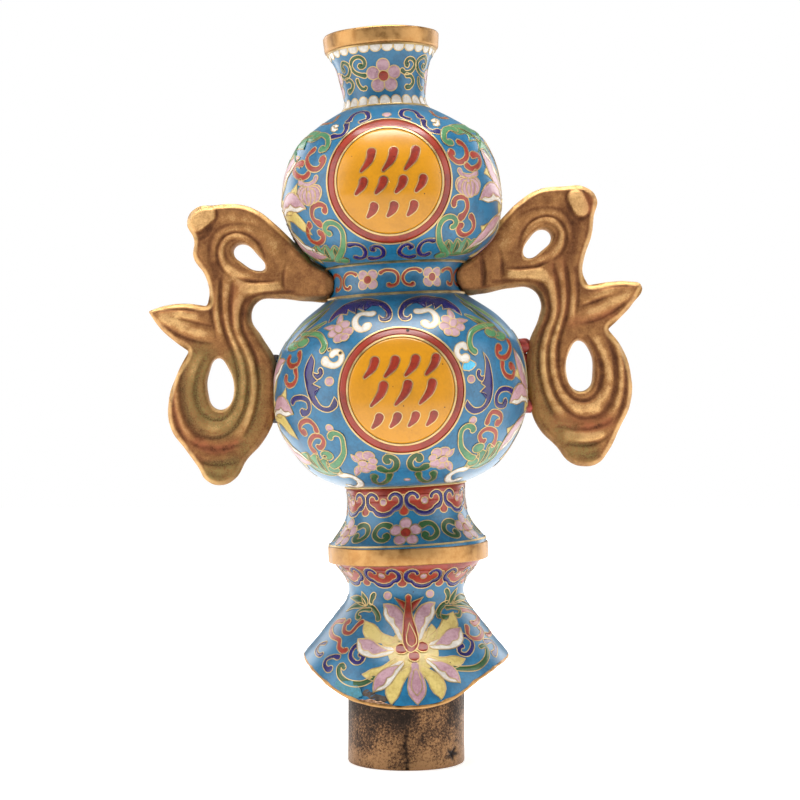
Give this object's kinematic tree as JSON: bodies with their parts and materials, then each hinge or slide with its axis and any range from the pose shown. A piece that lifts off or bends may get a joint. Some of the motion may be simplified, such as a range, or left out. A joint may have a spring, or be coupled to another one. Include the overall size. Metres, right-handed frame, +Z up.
{
  "type": "staff finial",
  "caption": "Double-gourd cloisonne enamel finial with pierced gilt ribbon handles, on a bell skirt and a round socket that fits over the top of a staff.",
  "frame": {"origin": "middle of the object's box at the height of the socket's open lower end, which it stands on", "axes": "+Z up along the socket, -Y towards the front, +X to the right; the two handles lie in the XZ plane"},
  "size_m": [0.2121, 0.1084, 0.3146],
  "materials": {
    "enamel": "glossy vitreous enamel on copper, with cloisons of gilt wire",
    "gilt_bronze": "worn fire gilding on turned bronze",
    "ribbon_bronze": "cast bronze with worn gilding and dark recesses",
    "worn_bronze": "mottled brown patina with a worn lower edge",
    "red_filler": "dark red filling between handle and bulb"
  },
  "bodies": {
    "root": {"mouth_rim": "gilt_bronze", "neck": "enamel", "upper_bulb": "enamel", "waist": "enamel", "lower_bulb": "enamel", "foot": "enamel", "foot_band": "gilt_bronze", "skirt": "enamel", "skirt_hem_rim": "gilt_bronze", "socket": "worn_bronze", "ribbon_left": "ribbon_bronze", "ribbon_right": "ribbon_bronze", "upper_pad_left": "red_filler", "lower_pad_left": "red_filler", "upper_pad_right": "red_filler", "lower_pad_right": "red_filler"}
  },
  "joints": []
}
